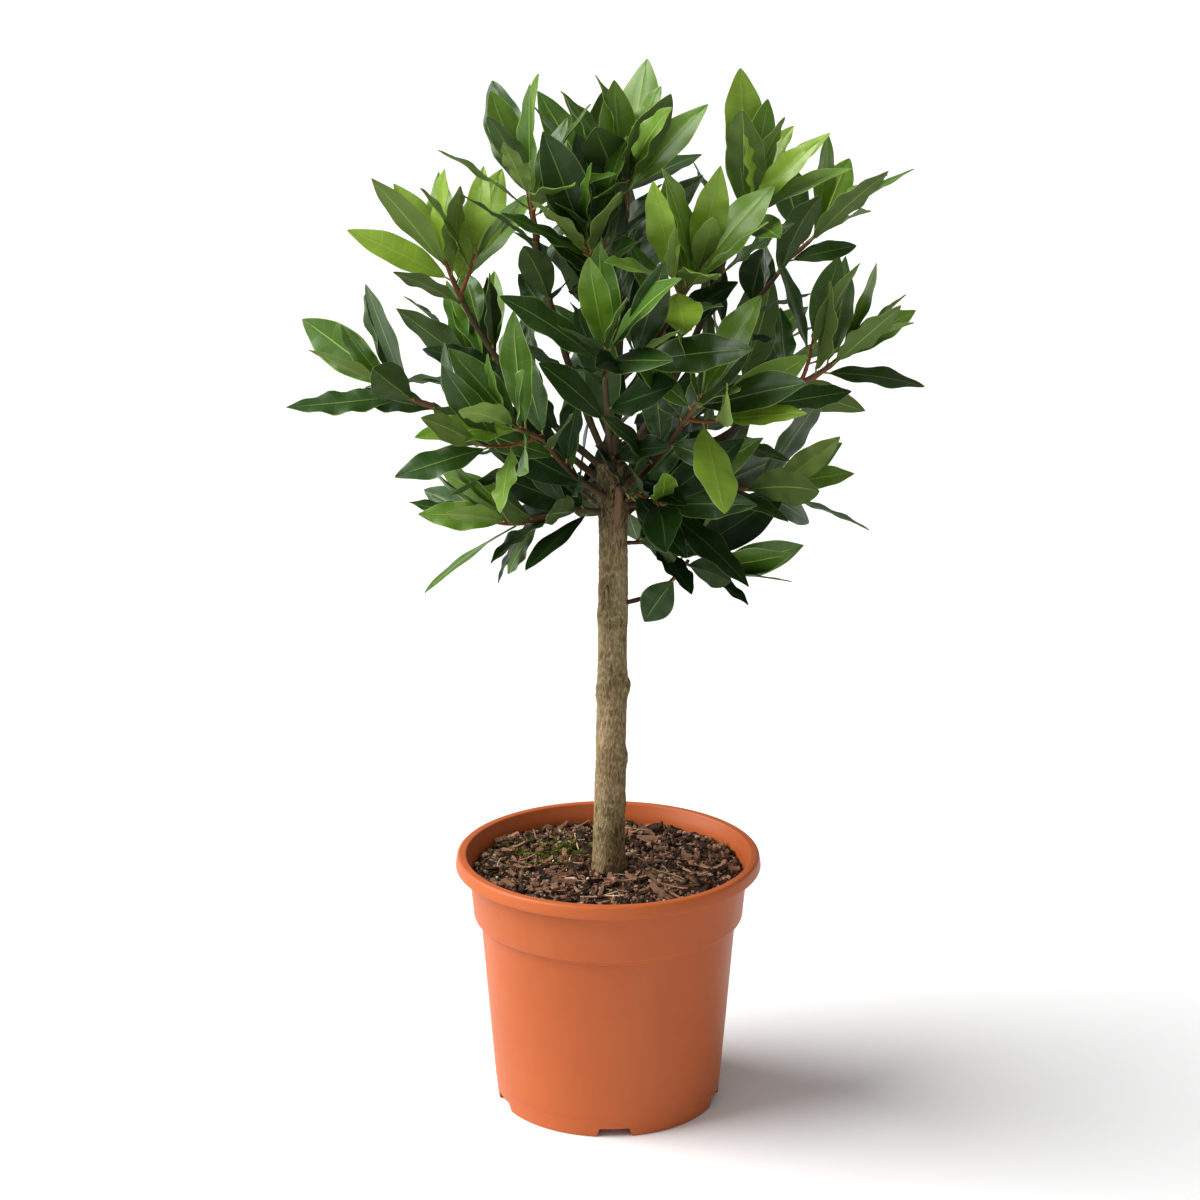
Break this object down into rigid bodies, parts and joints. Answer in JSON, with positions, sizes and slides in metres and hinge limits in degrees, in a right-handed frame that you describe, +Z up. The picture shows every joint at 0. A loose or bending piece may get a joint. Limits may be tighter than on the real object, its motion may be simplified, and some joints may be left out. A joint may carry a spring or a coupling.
{
  "type": "standard bay topiary in a pot",
  "caption": "Standard bay tree: a bare upright trunk, forking boughs and a loose round crown of pointed evergreen leaves, in a round tapered plastic pot of soil.",
  "frame": {"origin": "centre of the pot's flat underside, on the ground", "axes": "+Z up along the trunk, +X to the right and +Y to the back as seen from the front of the pot"},
  "size_m": [0.4705, 0.3919, 0.8043],
  "materials": {
    "pot_plastic": "smooth moulded, slightly satin",
    "potting_soil": "loose peat and bark chips",
    "bark": "olive-brown bark with fine fissures",
    "young_bark": "smooth red-brown young bark",
    "foliage": "glossy leather-like leaves"
  },
  "bodies": {
    "root": {"pot": "pot_plastic", "soil": "potting_soil", "trunk": "bark", "pruned_stub": "bark", "bough_far_left": "bark", "bough_left_upper": "bark", "bough_upper_left": "bark", "bough_top": "bark", "bough_upper_right": "bark", "bough_right_upper": "young_bark", "bough_right": "bark", "bough_lower_right": "bark", "bough_low_right": "young_bark", "bough_left_lower": "bark", "bough_centre_left": "bark", "bough_centre": "bark", "bough_centre_right": "bark", "bough_mid_upper": "young_bark", "bough_heart": "young_bark", "bough_low_centre": "young_bark", "bough_back_left": "bark", "bough_back": "bark", "bough_back_right": "bark", "bough_back_upper": "bark", "bough_back_low_left": "young_bark", "bough_back_low_right": "young_bark", "side_shoot": "young_bark", "leaf_mass_far_left": "foliage", "leaf_mass_left_upper": "foliage", "leaf_mass_upper_left": "foliage", "leaf_mass_top": "foliage", "leaf_mass_upper_right": "foliage", "leaf_mass_right_upper": "foliage", "leaf_mass_right": "foliage", "leaf_mass_lower_right": "foliage", "leaf_mass_low_right": "foliage", "leaf_mass_left_lower": "foliage", "leaf_mass_centre_left": "foliage", "leaf_mass_centre": "foliage", "leaf_mass_centre_right": "foliage", "leaf_mass_mid_upper": "foliage", "leaf_mass_heart": "foliage", "leaf_mass_low_centre": "foliage", "leaf_mass_back_left": "foliage", "leaf_mass_back": "foliage", "leaf_mass_back_right": "foliage", "leaf_mass_back_upper": "foliage", "leaf_mass_back_low_left": "foliage", "leaf_mass_back_low_right": "foliage"}
  },
  "joints": []
}
